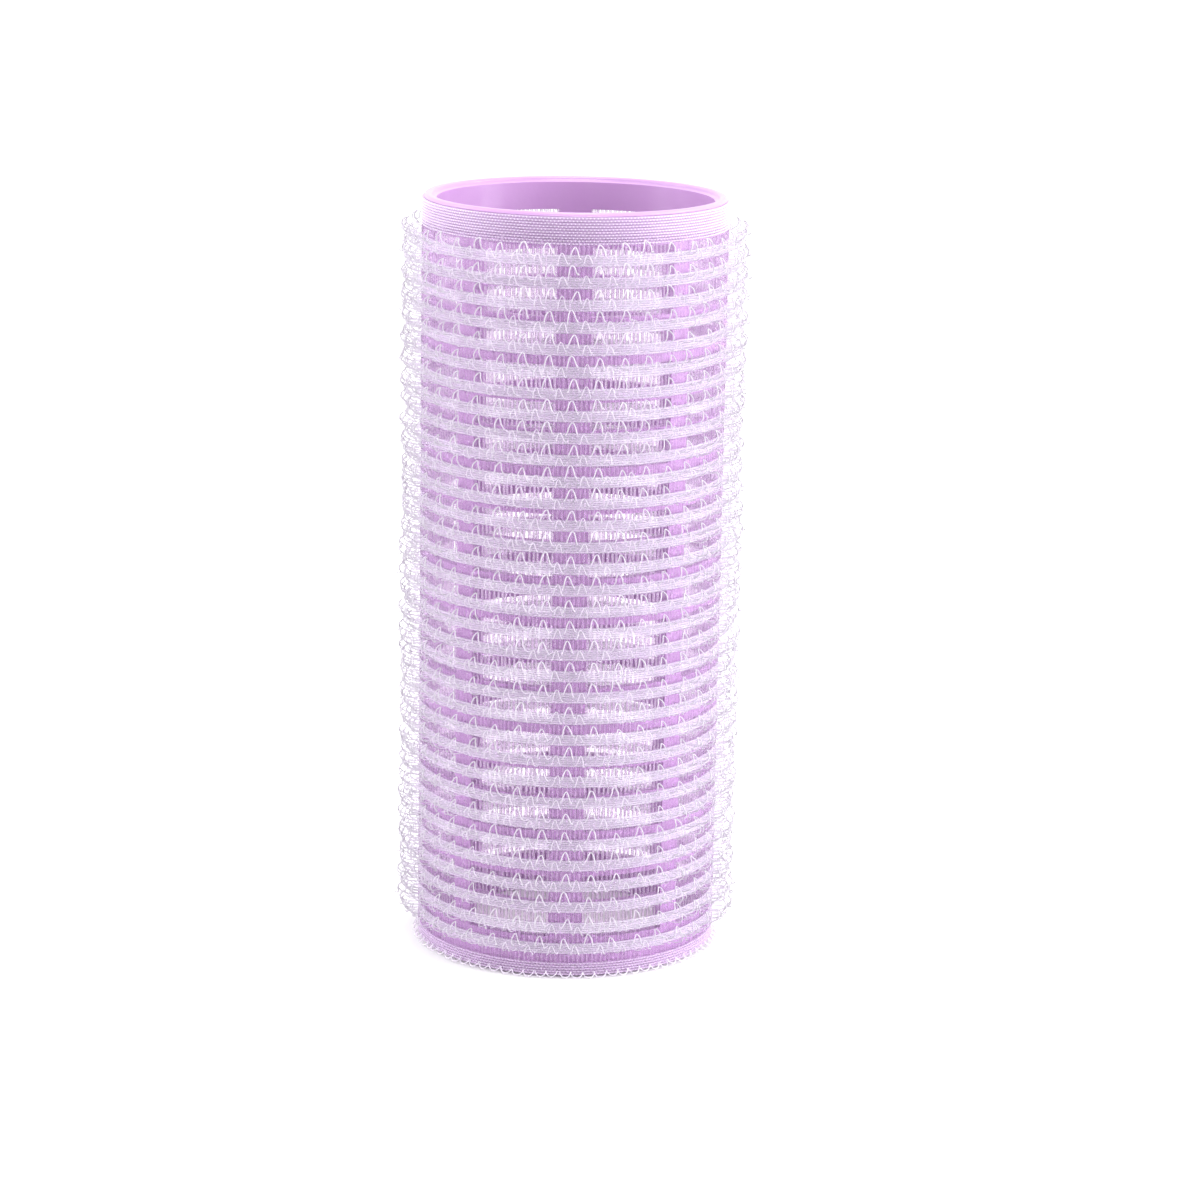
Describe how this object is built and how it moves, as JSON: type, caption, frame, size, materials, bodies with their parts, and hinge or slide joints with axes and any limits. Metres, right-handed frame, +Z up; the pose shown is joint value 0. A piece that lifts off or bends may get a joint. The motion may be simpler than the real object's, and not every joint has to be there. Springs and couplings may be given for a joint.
{
  "type": "hair roller",
  "caption": "Open-ended cylindrical plastic cage wrapped in a woven nylon tape whose rows of small hooks grip a strand of hair wound round it.",
  "frame": {"origin": "middle of the lower end, on the surface that the roller stands on", "axes": "+Z up along the roller's axis towards the end with the rim lip; -Y is the front; the tape's overlap seam is at +Y"},
  "size_m": [0.0464, 0.046, 0.102],
  "materials": {
    "lavender_plastic": "semi-gloss moulded polypropylene",
    "clear_nylon_ground": "open weave of clear nylon threads",
    "woven_edge": "dense white nylon weave",
    "nylon_hooks": "clear nylon monofilament hooks"
  },
  "bodies": {
    "root": {"core_cage": "lavender_plastic", "tape_ground": "clear_nylon_ground", "upper_edge": "woven_edge", "lower_edge": "woven_edge", "lap_seam": "woven_edge", "hook_row_01": "nylon_hooks", "hook_row_02": "nylon_hooks", "hook_row_03": "nylon_hooks", "hook_row_04": "nylon_hooks", "hook_row_05": "nylon_hooks", "hook_row_06": "nylon_hooks", "hook_row_07": "nylon_hooks", "hook_row_08": "nylon_hooks", "hook_row_09": "nylon_hooks", "hook_row_10": "nylon_hooks", "hook_row_11": "nylon_hooks", "hook_row_12": "nylon_hooks", "hook_row_13": "nylon_hooks", "hook_row_14": "nylon_hooks", "hook_row_15": "nylon_hooks", "hook_row_16": "nylon_hooks", "hook_row_17": "nylon_hooks", "hook_row_18": "nylon_hooks", "hook_row_19": "nylon_hooks", "hook_row_20": "nylon_hooks", "hook_row_21": "nylon_hooks", "hook_row_22": "nylon_hooks", "hook_row_23": "nylon_hooks", "hook_row_24": "nylon_hooks", "hook_row_25": "nylon_hooks", "hook_row_26": "nylon_hooks", "hook_row_27": "nylon_hooks", "hook_row_28": "nylon_hooks", "hook_row_29": "nylon_hooks", "hook_row_30": "nylon_hooks", "hook_row_31": "nylon_hooks", "hook_row_32": "nylon_hooks", "hook_row_33": "nylon_hooks"}
  },
  "joints": []
}
